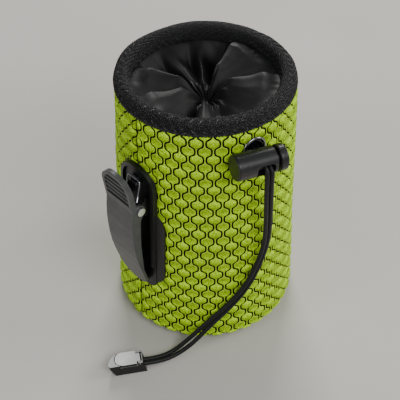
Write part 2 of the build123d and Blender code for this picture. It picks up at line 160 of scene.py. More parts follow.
def value_noise(x, y, seed, wrap_x=None):
    """Smooth 2-D value noise from -1 to 1; wrap_x is the whole number of cells round."""
    g = np.random.default_rng(seed).uniform(-1, 1, (256, 256))
    xi, yi = np.floor(x).astype(int), np.floor(y).astype(int)
    fx, fy = x - xi, y - yi
    fx, fy = fx * fx * (3 - 2 * fx), fy * fy * (3 - 2 * fy)
    m = wrap_x or 256
    x0, x1 = xi % m, (xi + 1) % m
    y0, y1 = yi % 256, (yi + 1) % 256
    return (g[x0, y0] * (1 - fx) * (1 - fy) + g[x1, y0] * fx * (1 - fy)
            + g[x0, y1] * (1 - fx) * fy + g[x1, y1] * fx * fy)


# ------------------------------------------------------------------ node helpers
class Nodes:
    def __init__(self, name):
        self.mat = bpy.data.materials.new(name)
        self.mat.use_nodes = True
        self.nt = self.mat.node_tree
        self.nt.nodes.clear()
        self.out = self.nt.nodes.new("ShaderNodeOutputMaterial")
        self.bsdf = self.nt.nodes.new("ShaderNodeBsdfPrincipled")
        self.nt.links.new(self.bsdf.outputs[0], self.out.inputs["Surface"])
        self._coord = None

    def set(self, **kw):
        names = {"base": "Base Color", "rough": "Roughness", "metal": "Metallic", "ior": "IOR",
                 "spec": "Specular IOR Level", "sheen": "Sheen Weight", "sheen_rough": "Sheen Roughness",
                 "sheen_tint": "Sheen Tint", "coat": "Coat Weight", "coat_rough": "Coat Roughness",
                 "aniso": "Anisotropic"}
        for k, v in kw.items():
            s = self.bsdf.inputs[names[k]]
            if isinstance(v, (int, float)):
                s.default_value = v
            elif isinstance(v, tuple):
                s.default_value = v if len(v) == 4 else (*v, 1)
            else:
                self.nt.links.new(v, s)
        return self

    def coord(self):
        if self._coord is None:
            n = self.nt.nodes.new("ShaderNodeTexCoord")
            self._coord = n.outputs["Object"]
        return self._coord

    def math(self, op, a, b=None, c=None, clamp=False):
        n = self.nt.nodes.new("ShaderNodeMath")
        n.operation = op
        n.use_clamp = clamp
        for i, v in enumerate((a, b, c)):
            if v is None:
                continue
            if isinstance(v, (int, float)):
                n.inputs[i].default_value = v
            else:
                self.nt.links.new(v, n.inputs[i])
        return n.outputs[0]

    def split(self, vec):
        n = self.nt.nodes.new("ShaderNodeSeparateXYZ")
        self.nt.links.new(vec, n.inputs[0])
        return n.outputs[0], n.outputs[1], n.outputs[2]

    def join(self, x, y, z):
        n = self.nt.nodes.new("ShaderNodeCombineXYZ")
        for i, v in enumerate((x, y, z)):
            if isinstance(v, (int, float)):
                n.inputs[i].default_value = v
            else:
                self.nt.links.new(v, n.inputs[i])
        return n.outputs[0]

    def noise(self, scale, detail=3, rough=0.55, vec=None, dim=None):
        n = self.nt.nodes.new("ShaderNodeTexNoise")
        n.inputs["Scale"].default_value = scale
        n.inputs["Detail"].default_value = detail
        n.inputs["Roughness"].default_value = rough
        self.nt.links.new(vec if vec is not None else self.coord(), n.inputs["Vector"])
        return n.outputs["Fac"]

    def voronoi(self, scale, feature="F1", vec=None, out="Distance", rand=1.0):
        n = self.nt.nodes.new("ShaderNodeTexVoronoi")
        n.feature = feature
        n.inputs["Scale"].default_value = scale
        n.inputs["Randomness"].default_value = rand
        self.nt.links.new(vec if vec is not None else self.coord(), n.inputs["Vector"])
        return n.outputs[out]

    def ramp(self, fac, stops):
        n = self.nt.nodes.new("ShaderNodeValToRGB")
        while len(n.color_ramp.elements) < len(stops):
            n.color_ramp.elements.new(0.5)
        for e, (p, col) in zip(n.color_ramp.elements, stops):
            e.position = p
            e.color = (*col, 1) if isinstance(col, tuple) else (col, col, col, 1)
        self.nt.links.new(fac, n.inputs[0])
        return n.outputs[0]

    def mix(self, fac, a, b, blend="MIX"):
        n = self.nt.nodes.new("ShaderNodeMix")
        n.data_type = "RGBA"
        n.blend_type = blend
        for s, v in ((n.inputs[0], fac), (n.inputs[6], a), (n.inputs[7], b)):
            if isinstance(v, (int, float)):
                s.default_value = v
            elif isinstance(v, tuple):
                s.default_value = (*v, 1)
            else:
                self.nt.links.new(v, s)
        return n.outputs[2]

    def bump(self, height, strength, distance, normal=None):
        n = self.nt.nodes.new("ShaderNodeBump")
        n.inputs["Strength"].default_value = strength
        n.inputs["Distance"].default_value = distance
        self.nt.links.new(height, n.inputs["Height"])
        if normal is not None:
            self.nt.links.new(normal, n.inputs["Normal"])
        self.nt.links.new(n.outputs[0], self.bsdf.inputs["Normal"])
        return n.outputs[0]

    def azimuth(self):
        """degrees round from -Y, and millimetres up."""
        x, y, z = self.split(self.coord())
        phi = self.math("ARCTAN2", x, self.math("MULTIPLY", y, -1.0))
        return self.math("MULTIPLY", phi, 180 / PI), self.math("MULTIPLY", z, 1000.0)


# ------------------------------------------------------------------ the fabric's cell pattern
PITCH = 5.070422            # degrees per column: 71 columns round
PERIOD = 8.837              # mm
AMP = 0.335                 # swing of each line, in columns
SHARP = 1.75
SEAM = -83.1                # degrees, where the fabric's two edges are sewn
CLIP_AZ = -83.1             # the belt clip covers the seam
COL_MM = PITCH * PI / 180 * 43.2


def unwrap_from_seam(phi):
    return (phi - SEAM) % 360 + SEAM


def cell_distance(phi, z):
    """(distance to the nearest line in mm, up-down position in the cell)."""
    kf = (unwrap_from_seam(phi) + 38.80 + 0.0257 * z) / PITCH
    j = np.floor(kf)
    t = 2 * PI * (109.59 - 0.083 * kf - z) / PERIOD
    sgn = 1 - 2 * (np.mod(j, 2))
    th = np.tanh(SHARP * np.cos(t))
    f = th / math.tanh(SHARP)
    df = -SHARP * np.sin(t) * (1 - th * th) / math.tanh(SHARP)
    off = kf - (j + 0.5 + sgn * AMP * f)
    slope = COL_MM * AMP * df * 2 * PI / PERIOD
    return np.abs(off) * COL_MM / np.sqrt(1 + slope * slope), off * COL_MM


# ------------------------------------------------------------------ materials
def lime_material():
    m = Nodes("lime_mesh_fabric")
    phi, z = m.azimuth()
    rel = m.math("ADD", m.math("WRAP", m.math("SUBTRACT", phi, SEAM), 360.0, 0.0), SEAM)
    kf = m.math("DIVIDE", m.math("ADD", m.math("ADD", rel, 38.80), m.math("MULTIPLY", z, 0.0257)), PITCH)
    j = m.math("FLOOR", kf)
    par = m.math("SUBTRACT", 1.0, m.math("MULTIPLY", m.math("FLOORED_MODULO", j, 2.0), 2.0))
    t = m.math("MULTIPLY", m.math("SUBTRACT", m.math("SUBTRACT", 109.59, m.math("MULTIPLY", kf, 0.083)), z), 2 * PI / PERIOD)
    th = m.math("TANH", m.math("MULTIPLY", m.math("COSINE", t), SHARP))
    k = math.tanh(SHARP)
    off = m.math("SUBTRACT", m.math("SUBTRACT", kf, m.math("ADD", j, 0.5)),
                 m.math("MULTIPLY", m.math("MULTIPLY", par, th), AMP / k))
    sech2 = m.math("SUBTRACT", 1.0, m.math("MULTIPLY", th, th))
    slope = m.math("MULTIPLY", m.math("MULTIPLY", m.math("SINE", t), sech2), SHARP / k * COL_MM * AMP * 2 * PI / PERIOD)
    norm = m.math("SQRT", m.math("ADD", 1.0, m.math("MULTIPLY", slope, slope)))
    wob = m.math("MULTIPLY", m.math("SUBTRACT", m.noise(900, 2, 0.6), 0.5), 0.16)
    dist = m.math("ADD", m.math("DIVIDE", m.math("MULTIPLY", m.math("ABSOLUTE", off), COL_MM), norm), wob)
    # heathered lime cells with a paler edge beside each black line
    grain = m.noise(1050, 5, 0.75)
    strands_vec = m.join(m.math("MULTIPLY", phi, 0.9), m.math("MULTIPLY", z, 0.35), 0.0)
    fibre = m.noise(3.2, 4, 0.7, vec=strands_vec)
    broad = m.noise(60, 2, 0.5)
    cell = m.ramp(m.math("ADD", m.math("MULTIPLY", grain, 0.55), m.math("MULTIPLY", fibre, 0.45)),
                  [(0.36, (0.07, 0.15, 0.0005)), (0.46, (0.30, 0.52, 0.002)), (0.55, (0.53, 0.90, 0.008)), (0.68, (0.85, 1.0, 0.05))])
    # painted shade: darker towards the lower right of each cell, where the puffed surface turns away from the light
    shade = m.math("ADD", m.math("MULTIPLY", m.math("SINE", t), -0.33), 0.98)
    cell = m.mix(1.0, cell, m.join(shade, shade, shade), "MULTIPLY")
    cell = m.mix(m.math("MULTIPLY", m.math("SUBTRACT", broad, 0.4), 0.5, clamp=True), cell, (0.22, 0.36, 0.012))
    halo = m.ramp(dist, [(0.0, 1.0), (0.56, 1.0), (0.84, 0.0), (1.0, 0.0)])
    col = m.mix(m.math("MULTIPLY", halo, 0.62), cell, (0.62, 0.86, 0.065))
    line = m.ramp(dist, [(0.0, 1.0), (0.385, 1.0), (0.46, 0.0), (1.0, 0.0)])
    col = m.mix(line, col, (0.004, 0.005, 0.002))
    # painted shade along the groove of the sewn seam: a narrow darker line at the seam
    seam = m.math("ABSOLUTE", m.math("SUBTRACT", m.math("WRAP", m.math("SUBTRACT", phi, SEAM), 180.0, -180.0), 0.0))
    seam_groove_shade = m.ramp(m.math("MULTIPLY", seam, 0.5), [(0.0, 1.0), (0.18, 1.0), (0.42, 0.0), (1.0, 0.0)])
    col = m.mix(m.math("MULTIPLY", seam_groove_shade, 0.85), col, (0.02, 0.03, 0.008))
    rough = m.math("ADD", 0.52, m.math("MULTIPLY", grain, 0.25))
    m.set(base=col, rough=rough, spec=0.12, sheen=0.0, sheen_rough=0.5)
    m.bsdf.inputs["Sheen Tint"].default_value = (0.9, 1.0, 0.6, 1)
    weave = m.math("ADD", m.math("MULTIPLY", m.math("SINE", m.math("MULTIPLY", phi, 14.0)), 0.25),
                   m.math("MULTIPLY", m.math("SINE", m.math("MULTIPLY", z, 16.0)), 0.25))
    hgt = m.math("ADD", m.math("ADD", weave, m.math("MULTIPLY", grain, 1.4)), m.math("MULTIPLY", line, -1.2))
    m.bump(hgt, 0.55, 0.00012)
    return m.mat


def black_fabric(name, tone=0.02, pitch=900, rough=0.75, sheen=0.4, specks=0.05, bump=0.5, dist=0.00015):
    m = Nodes(name)
    g = m.noise(pitch, 4, 0.65)
    big = m.noise(70, 2, 0.5)
    col = m.ramp(m.math("ADD", m.math("MULTIPLY", g, 0.8), m.math("MULTIPLY", big, 0.2)),
                 [(0.30, tone * 0.4), (0.55, tone), (0.68, tone + specks * 0.35), (0.80, tone + specks)])
    m.set(base=col, rough=m.math("ADD", rough - 0.12, m.math("MULTIPLY", g, 0.24)), spec=0.3, sheen=sheen, sheen_rough=0.45)
    m.bump(g, bump, dist)
    return m


def tape_material():
    m = Nodes("herringbone_tape")
    phi, z = m.azimuth()
    x, y, zz = m.split(m.coord())
    rad = m.math("MULTIPLY", m.math("SQRT", m.math("ADD", m.math("MULTIPLY", x, x), m.math("MULTIPLY", y, y))), 1000.0)
    arc = m.math("MULTIPLY", phi, 0.70)
    zig = m.math("PINGPONG", m.math("ADD", z, rad), 3.2)
    ridge = m.math("ABSOLUTE", m.math("SINE", m.math("MULTIPLY", m.math("ADD", arc, m.math("MULTIPLY", zig, 1.1)), PI / 1.05)))
    fine = m.noise(1700, 4, 0.7)
    mid = m.noise(420, 3, 0.6)
    # painted light on the herringbone ridges: crests painted lighter as glints and valleys painted darker as shade,
    # mixed with the tape's own bright specks
    specks_and_ridge_glints = m.ramp(m.math("ADD", m.math("MULTIPLY", fine, 0.42), m.math("MULTIPLY", ridge, 0.42)),
                   [(0.42, 0.0003), (0.55, 0.0014), (0.62, 0.014), (0.69, 0.26)])
    col = m.mix(m.math("MULTIPLY", mid, 0.5), specks_and_ridge_glints, (0.004, 0.004, 0.0045))
    m.set(base=col, rough=m.math("ADD", 0.50, m.math("MULTIPLY", fine, 0.35)), spec=0.35, sheen=0.03, sheen_rough=0.4)
    h = m.math("ADD", m.math("MULTIPLY", ridge, 1.6), m.math("MULTIPLY", fine, 0.8))
    m.bump(h, 1.0, 0.00045)
    return m.mat


def nylon_material(name="skirt_nylon", tone=0.0026):
    m = Nodes(name)
    phi, z = m.azimuth()
    x, y, zz = m.split(m.coord())
    rip = m.math("MAXIMUM", m.math("ABSOLUTE", m.math("SINE", m.math("MULTIPLY", x, 5200.0))),
                 m.math("ABSOLUTE", m.math("SINE", m.math("MULTIPLY", y, 5200.0))))
    fine = m.noise(1400, 3, 0.6)
    big = m.noise(45, 3, 0.5)
    col = m.ramp(m.math("ADD", m.math("MULTIPLY", big, 0.7), m.math("MULTIPLY", fine, 0.3)),
                 [(0.3, (tone * 0.75, tone * 0.75, tone * 0.8)), (0.7, (tone * 1.35, tone * 1.33, tone * 1.36))])
    m.set(base=col, rough=m.math("ADD", 0.50, m.math("MULTIPLY", fine, 0.16)), spec=0.30, sheen=0.03, sheen_rough=0.35)
    h = m.math("ADD", m.math("MULTIPLY", rip, 0.35), m.math("MULTIPLY", fine, 0.6))
    b1 = m.bump(h, 0.30, 0.00008)
    wr = m.noise(160, 4, 0.6)
    m.bump(wr, 0.22, 0.0012, normal=b1)
    return m.mat


def plastic(name, tone, rough=0.42, grain=2600, bump=0.12, coat=0.0, wear=0.5, tint=(1, 1, 1)):
    m = Nodes(name)
    g = m.noise(grain, 3, 0.6)
    mid = m.noise(210, 4, 0.6)
    scr = m.noise(38, 5, 0.7, vec=m.join(*[m.math("MULTIPLY", c, s) for c, s in zip(m.split(m.coord()), (6.0, 6.0, 0.8))]))
    a = tuple(tone * 0.82 * t for t in tint)
    b = tuple(tone * 1.25 * t for t in tint)
    col = m.ramp(m.math("ADD", m.math("MULTIPLY", mid, 0.6), m.math("MULTIPLY", g, 0.4)), [(0.35, a), (0.65, b)])
    # edges that handling has rubbed a little lighter
    geo = m.nt.nodes.new("ShaderNodeNewGeometry")
    edge = m.ramp(geo.outputs["Pointiness"], [(0.50, 0.0), (0.56, 1.0)])
    light = tuple(min(1.0, tone * 3.2 + 0.01) * t for t in tint)
    col = m.mix(m.math("MULTIPLY", m.math("MULTIPLY", edge, mid), wear), col, light)
    m.set(base=col, rough=m.math("ADD", rough - 0.08, m.math("ADD", m.math("MULTIPLY", scr, 0.10), m.math("MULTIPLY", g, 0.08))),
          spec=0.5)
    if coat:
        m.set(coat=coat, coat_rough=0.12)
    m.bump(g, bump, 0.00005)
    return m.mat


def metal(name, col, rough=0.25, brushed=True):
    m = Nodes(name)
    c = m.split(m.coord())
    br = m.noise(260, 4, 0.6, vec=m.join(m.math("MULTIPLY", c[0], 9.0), m.math("MULTIPLY", c[1], 9.0), c[2]))
    dark = tuple(v * 0.72 for v in col)
    m.set(base=m.ramp(br, [(0.3, dark), (0.7, col)]), metal=1.0,
          rough=m.math("ADD", rough - 0.06, m.math("MULTIPLY", br, 0.14)))
    m.bump(br, 0.15, 0.00004)
    return m.mat


def cord_material():
    m = Nodes("braided_cord")
    g = m.noise(2400, 3, 0.7)
    v = m.noise(700, 2, 0.5)
    col = m.ramp(m.math("ADD", m.math("MULTIPLY", g, 0.6), m.math("MULTIPLY", v, 0.4)),
                 [(0.35, 0.0004), (0.55, 0.0012), (0.74, 0.014)])
    m.set(base=col, rough=m.math("ADD", 0.45, m.math("MULTIPLY", g, 0.2)), spec=0.40, sheen=0.06, sheen_rough=0.4)
    m.bump(g, 0.4, 0.00008)
    return m.mat


M = {
    "lime": lime_material(),
    "tape": tape_material(),
    "nylon": nylon_material(),
    "lining": nylon_material("lining_nylon", 0.03),
    "base": black_fabric("base_fabric", 0.022, 1100, 0.8, 0.3, 0.03, 0.6, 0.0002).mat,
    "foam": black_fabric("foam", 0.12, 700, 0.95, 0.1, 0.06, 0.8, 0.0004).mat,
    "lock": plastic("lock_plastic", 0.009, rough=0.33, wear=0.4),
    "clip": plastic("clip_plastic", 0.0028, rough=0.40, wear=0.4),
    "flap": plastic("flap_plastic", 0.046, rough=0.42, grain=3200, bump=0.25, wear=0.35, tint=(0.96, 0.99, 1.0)),
    "end": plastic("end_plastic", 0.005, rough=0.22, wear=0.4, coat=1.0),
    "lid": plastic("end_lid_plastic", 0.03, rough=0.20, wear=0.4, coat=1.0),
    "stiff": plastic("stiffener_plastic", 0.05, rough=0.5),
    "eyelet": metal("eyelet_metal", (0.34, 0.34, 0.36), 0.20),
    "pin": metal("pin_metal", (0.86, 0.86, 0.88), 0.24),
    "spring": metal("spring_steel", (0.62, 0.63, 0.66), 0.22),
    "cord": cord_material(),
    "thread": black_fabric("stitch_thread", 0.03, 2600, 0.6, 0.3, 0.05, 0.4, 0.00005).mat,
}

def end_material(name, top):
    """Glossy moulded plastic with a painted reflection: faces turned upward are painted a lighter grey."""
    m = Nodes(name)
    g = m.noise(2400, 3, 0.6)
    mid = m.noise(240, 4, 0.6)
    geo = m.nt.nodes.new("ShaderNodeNewGeometry")
    nz = m.split(geo.outputs["Normal"])[2]
    # painted reflection of the lights above: faces turned upward get the lighter grey
    up = m.ramp(nz, [(0.0, 0.0), (0.90, 0.0), (0.97, 1.0), (1.0, 1.0)])
    dark = m.ramp(mid, [(0.3, 0.002), (0.7, 0.0045)])
    light = m.ramp(m.math("ADD", m.math("MULTIPLY", mid, 0.5), m.math("MULTIPLY", g, 0.5)), [(0.3, top * 0.80), (0.7, top * 1.1)])
    m.set(base=m.mix(up, dark, light), rough=m.math("ADD", 0.24, m.math("MULTIPLY", g, 0.14)), spec=0.45)
    m.bump(g, 0.12, 0.00005)
    return m.mat


M["end"] = end_material("end_body_painted_top_reflection", 0.42)
M["lid"] = end_material("end_lid_painted_reflection", 0.72)

CAD_LOOK = {
    "bottom_panel": "base", "bottom_stiffener": "stiff", "foam_padding": "foam", "liner_wall": "lining",
    "liner_bottom": "lining", "rim_hoop": "spring", "eyelet_washer": "eyelet",
    "drawcord_knot": "cord", "cord_lock_barrel": "lock", "cord_lock_endcap": "lock", "cord_lock_plunger": "lock",
    "clip_base": "clip", "clip_backing_plate": "stiff", "clip_rivets": "eyelet", "clip_pin": "pin", "clip_flap": "flap",
    "cord_end_base": "end", "cord_end_lid": "lid", "cord_end_pin": "pin",
}
for node, look in CAD_LOOK.items():
    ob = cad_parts[node]
    ob.data.materials.clear()
    ob.data.materials.append(M[look])

# ------------------------------------------------------------------ drawcord
STRAND_A = [
    (-5.0, -44.2, 119.5),
    (-7.1, -54.2, 119.5),
    (-7.0, -53.9, 109.5),
    (-5.5, -52.6, 96.5),
    (-3.0, -50.4, 80.9),
    (-1.9, -48.9, 66.0),
    (-4.5, -47.4, 52.3),
    (-10.1, -46.5, 40.2),
    (-18.4, -43.9, 29.1),
    (-28.2, -39.1, 17.5),
    (-37.4, -35.4, 7.0),
    (-46.2, -33.4, 1.5),
    (-54.9, -31.9, 2.2),
    (-64.1, -27.6, 3.0),
]
STRAND_B = [
    (-2.8, -44.7, 119.4),
    (-4.9, -54.7, 119.4),
    (-4.8, -54.5, 109.5),
    (-3.3, -53.2, 96.5),
    (-0.8, -50.8, 81.1),
    (0.3, -48.9, 66.0),
    (-2.3, -47.4, 51.7),
    (-8.2, -46.8, 38.8),
    (-16.8, -44.5, 27.5),
    (-26.6, -40.3, 15.7),
    (-37.0, -38.2, 5.8),
    (-46.8, -36.0, 1.5),
    (-55.9, -34.0, 2.2),
    (-65.0, -29.7, 3.0),
]
LOOP = [
    (-5.0, -44.2, 119.5),
    (-3.77, -38.33, 119.5),
    (-4.0, -22.0, 118.8),
    (-3.6, -9.6, 118.6),
    (-8.0, -3.4, 118.6),
    (-7.4, 4.6, 118.6),
    (-1.9, 8.6, 118.6),
    (5.2, 7.0, 118.6),
    (8.5, 0.8, 118.6),
    (5.9, -5.6, 118.6),
    (0.4, -10.4, 118.6),
    (-1.1, -22.4, 118.8),
    (-1.57, -38.83, 119.4),
    (-2.8, -44.7, 119.4),
]
CORD_D = 2.2


def route(points, name):
    """The smooth line of a NURBS spline through its control points, as a polyline in mm."""
    cu = bpy.data.curves.new(name, "CURVE")
    cu.dimensions = "3D"
    sp = cu.splines.new("NURBS")
    sp.points.add(len(points) - 1)
    for p, c in zip(sp.points, points):
        p.co = (c[0] * MM, c[1] * MM, c[2] * MM, 1)
    sp.order_u = 3
    sp.use_endpoint_u = True
    sp.resolution_u = 24
    ob = bpy.data.objects.new(name, cu)
    scene.collection.objects.link(ob)
    bpy.context.view_layer.update()
    me = bpy.data.meshes.new_from_object(ob)
    line = np.array([v.co for v in me.vertices], float) / MM
    bpy.data.objects.remove(ob)
    bpy.data.curves.remove(cu)
    bpy.data.meshes.remove(me)
    return line


def evenly(line, step):
    seg = np.linalg.norm(np.diff(line, axis=0), axis=1)
    keep = np.r_[True, seg > 1e-6]
    line = line[keep]
    s = np.r_[0, np.cumsum(np.linalg.norm(np.diff(line, axis=0), axis=1))]
    n = int(round(s[-1] / step)) + 1
    t = np.linspace(0, s[-1], n)
    return np.stack([np.interp(t, s, line[:, i]) for i in range(3)], 1), s[-1]


def braid(length, ang):
    """Relief of a round eight-plait braid."""
    a = np.sin(4 * ang + length * 2 * PI / 3.6)
    b = np.sin(4 * ang - length * 2 * PI / 3.6)
    return 0.055 * (np.abs(a) + np.abs(b) - 1.0) - 0.02


cords = {}
for name, pts in (("drawcord_a", STRAND_A), ("drawcord_b", STRAND_B)):
    line, _ = evenly(route(pts, name + "_route"), 0.35)
    co, faces = tube(line, CORD_D / 2, 20, rad_fn=braid)
    ob = make_mesh(name, co, faces, M["cord"])
    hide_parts(name.replace("drawcord", "drawcord_strand"))
    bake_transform(ob)
    cords[name] = (ob, line)

line, _ = evenly(route(LOOP, "loop_route"), 0.5)
co, faces = tube(line, CORD_D / 2, 16, rad_fn=braid)
inner = make_mesh("drawcord_in_hem", co, faces, M["cord"])
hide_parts("drawcord_inner")
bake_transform(inner)


# ------------------------------------------------------------------ padded fabric wall
def build_wall():
    nphi = 852
    step = 0.42
    cr = wall_r(R_CORNER) - R_CORNER
    arc = np.linspace(-PI / 2, 0, max(6, int(R_CORNER * PI / 2 / step)))
    prof = [(cr - 0.8, 0.02)] + [(cr + R_CORNER * math.cos(a), R_CORNER + R_CORNER * math.sin(a)) for a in arc]
    zs = np.arange(R_CORNER + step, 131.0, step)
    prof += [(wall_r(z), z) for z in zs]
    # tucks in under the binding
    prof += [(40.60, 131.6), (40.25, 132.4), (39.85, 133.2), (39.7, 134.0)]
    prof = np.array(prof)
    nrm = np.gradient(prof, axis=0)
    nrm = np.stack([nrm[:, 1], -nrm[:, 0]], 1)
    nrm /= np.linalg.norm(nrm, axis=1)[:, None]
    phi = np.linspace(-180, 180, nphi, endpoint=False) + SEAM
    PH, I = np.meshgrid(phi, np.arange(len(prof)), indexing="ij")
    R, Z = prof[I, 0], prof[I, 1]
    NR, NZ = nrm[I, 0], nrm[I, 1]
    d, _ = cell_distance(PH, Z)
    puff = 0.80 * smoothstep(d, 0.10, 1.30) - 0.34 * (1 - smoothstep(d, 0.0, 0.45))
    # sewn vertical seam: a shallow valley with a slight roll on each side
    ds = ((PH - SEAM + 180) % 360 - 180) * PI / 180 * R
    seam = -0.95 * np.exp(-(ds / 0.9) ** 2) + 0.28 * np.exp(-((np.abs(ds) - 3.0) / 1.8) ** 2)
    # soft unevenness of the padding
    wob = 0.30 * value_noise(PH / 360 * 9, Z / 30.0, 11, wrap_x=9) + 0.14 * value_noise(PH / 360 * 26, Z / 11.0, 12, wrap_x=26)
    # the seam at the base pulls the fabric in
    base = -0.55 * np.exp(-((Z - 2.2) / 1.3) ** 2) + 0.25 * np.exp(-((Z - 7.5) / 4.0) ** 2)
    n = puff + seam + wob + base
    # pressed flat under the clip's plate and the eyelet
    turn = (PH - CLIP_AZ + 180) % 360 - 180
    half = np.where(np.abs(turn) < 60, np.abs(np.sin(np.radians(turn)) * R), 99.0)
    wide = np.where(Z < 84, 15.9, 11.6)
    edge_z = np.minimum(Z - 32.5, 106.0 - Z)
    press = smoothstep(wide - half, -1.0, 1.2) * smoothstep(edge_z, -1.0, 1.2)
    de = np.hypot(((PH + 5.6 + 180) % 360 - 180) * PI / 180 * R, Z - 120.3)
    press_e = 1 - smoothstep(de, 5.2, 7.6)
    n = n * (1 - press) + press * (-0.15 + 0.06 * puff)
    n = n * (1 - press_e) + press_e * (-0.12 + 0.05 * puff)
    # the binding squeezes the padding where it is sewn on
    n -= 0.45 * smoothstep(Z, 128.6, 131.2)
    top = smoothstep(Z, 131.0, 131.8)
    n = n * (1 - top) - 0.10 * top
    n = n * (1 - smoothstep(2.6 - Z, 0.0, 2.4)) 
    a = np.radians(PH)
    Rn, Zn = R + n * NR, np.maximum(Z + n * NZ, 0.02)
    co = np.stack([np.sin(a) * Rn, -np.cos(a) * Rn, Zn], -1).reshape(-1, 3)
    faces = grid_faces(nphi, len(prof), wrap_u=True)
    in_hole = (de < 4.15).reshape(-1)
    faces = faces[~in_hole[faces].all(1)]
    ob = make_mesh("pouch_wall", co, faces, M["lime"])
    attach(ob, "pouch")
    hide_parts("outer_shell")
    return ob


wall = build_wall()


# ------------------------------------------------------------------ rim binding
def smooth_profile(points, n):
    """Closed-free smooth polyline through points by repeated corner cutting, resampled evenly."""
    p = np.array(points, float)
    for _ in range(3):
        q = [p[0]]
        for a, b in zip(p, p[1:]):
            q += [0.75 * a + 0.25 * b, 0.25 * a + 0.75 * b]
        q.append(p[-1])
        p = np.array(q)
    s = np.r_[0, np.cumsum(np.linalg.norm(np.diff(p, axis=0), axis=1))]
    t = np.linspace(0, s[-1], n)
    return np.stack([np.interp(t, s, p[:, 0]), np.interp(t, s, p[:, 1])], 1), t


def build_binding():
    nphi = 760
    nv = 74
    prof, t = smooth_profile([(40.3, 132.6), (40.7, 131.0), (41.35, 130.8), (41.65, 132.4), (41.3, 134.9), (39.9, 136.7),
                              (37.3, 137.1), (35.0, 136.2), (34.1, 133.8), (34.05, 129.6), (34.6, 128.7), (35.1, 129.6)], nv)
    nrm = np.gradient(prof, axis=0)
    nrm = np.stack([nrm[:, 1], -nrm[:, 0]], 1)
    nrm /= np.linalg.norm(nrm, axis=1)[:, None]
    phi = np.linspace(0, 360, nphi, endpoint=False)
    PH, I = np.meshgrid(phi, np.arange(nv), indexing="ij")
    R, Z, T = prof[I, 0], prof[I, 1], t[I]
    arc = PH * PI / 180 * 39.0
    per = 2 * PI * 39.0 / round(2 * PI * 39.0 / 1.35)
    zig = np.abs(((T / 3.6) % 2) - 1) * 3.6
    ridge = np.abs(np.sin(PI * (arc / per + zig / 1.5))) * (0.75 + 0.25 * np.abs(np.sin(PI * T / 0.7)))
    lumps = 0.26 * value_noise(PH / 360 * 38, T / 5.0, 21, wrap_x=38) + 0.30 * value_noise(PH / 360 * 14, T / 9.0, 22, wrap_x=14)
    hair = 0.07 * value_noise(PH / 360 * 240, T / 0.7, 23, wrap_x=240)
    n = 0.68 * (ridge - 0.6) + 0.55 * lumps * smoothstep(T, 1.0, 3.5) + hair
    # each bite of the stitching pulls the lower edge in
    n -= 0.20 * np.exp(-((Z - 131.9) / 0.5) ** 2) * (0.6 + 0.4 * np.cos(2 * PI * arc / 3.05)) * (R > 39)
    a = np.radians(PH)
    Rn, Zn = R + n * nrm[I, 0], Z + n * nrm[I, 1]
    Zn = Zn + (0.45 * np.cos(a - math.radians(-36.5)) + 0.16 * np.sin(a * 5 + 2.0)) * smoothstep(Z, 130, 135)
    co = np.stack([np.sin(a) * Rn, -np.cos(a) * Rn, Zn], -1).reshape(-1, 3)
    faces = grid_faces(nphi, nv, wrap_u=True)
    ob = make_mesh("rim_tape", co, faces, M["tape"])
    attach(ob, "pouch")
    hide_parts("rim_binding")
    return ob


tape = build_binding()


def build_stitches():
    parts = []
    count = 84
    for i in range(count):
        a0 = 2 * PI * i / count
        da = 0.62 * 2 * PI / count
        t = np.linspace(0, 1, 6)
        aa = a0 + da * t
        r = 41.45 + 0.30 * np.sin(PI * t) - 0.25
        z = 131.9 + 0.12 * np.sin(a0 * 5)
        p = np.stack([np.sin(aa) * r, -np.cos(aa) * r, np.full(6, z)], 1)
        parts.append(tube(p, 0.24, 8))
    co, faces = join(parts)
    ob = make_mesh("rim_stitching", co, faces, M["thread"])
    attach(ob, "pouch")
    return ob


stitches = build_stitches()


# ------------------------------------------------------------------ gathered skirt
VIEW_AZ = 36.525          # the folds' angles are counted in the plan turned by this much
FOLDS = [  # degrees, height of the fold at mid radius (share of the amplitude)
    (0, 0.98), (7, 1.0), (11, 0.55), (14, -0.15), (20, -0.10), (32, 0.35), (46, 0.78), (58, 1.02), (64, 1.05), (68, 0.50),
    (72, -0.75), (78, -0.95), (86, -0.45), (93, 0.02), (97, -0.02), (103, -0.70), (109, -0.35), (118, 0.10), (127, 0.02),
    (133, -0.62), (139, -0.30), (147, -0.42), (153, -0.80), (158, 0.05), (161, 0.80), (166, 0.92), (176, 0.62), (187, 0.18),
    (194, -0.22), (197.5, -0.05), (200, 0.62), (205, 0.85), (216, 0.78), (230, 0.42), (243, -0.10), (252, -0.60),
    (257, -0.35), (261, 0.30), (267, 0.48), (275, 0.38), (283, 0.05), (290, -0.35), (298, -0.42), (312, -0.10),
    (330, 0.35), (346, 0.75), (360, 0.98),
]


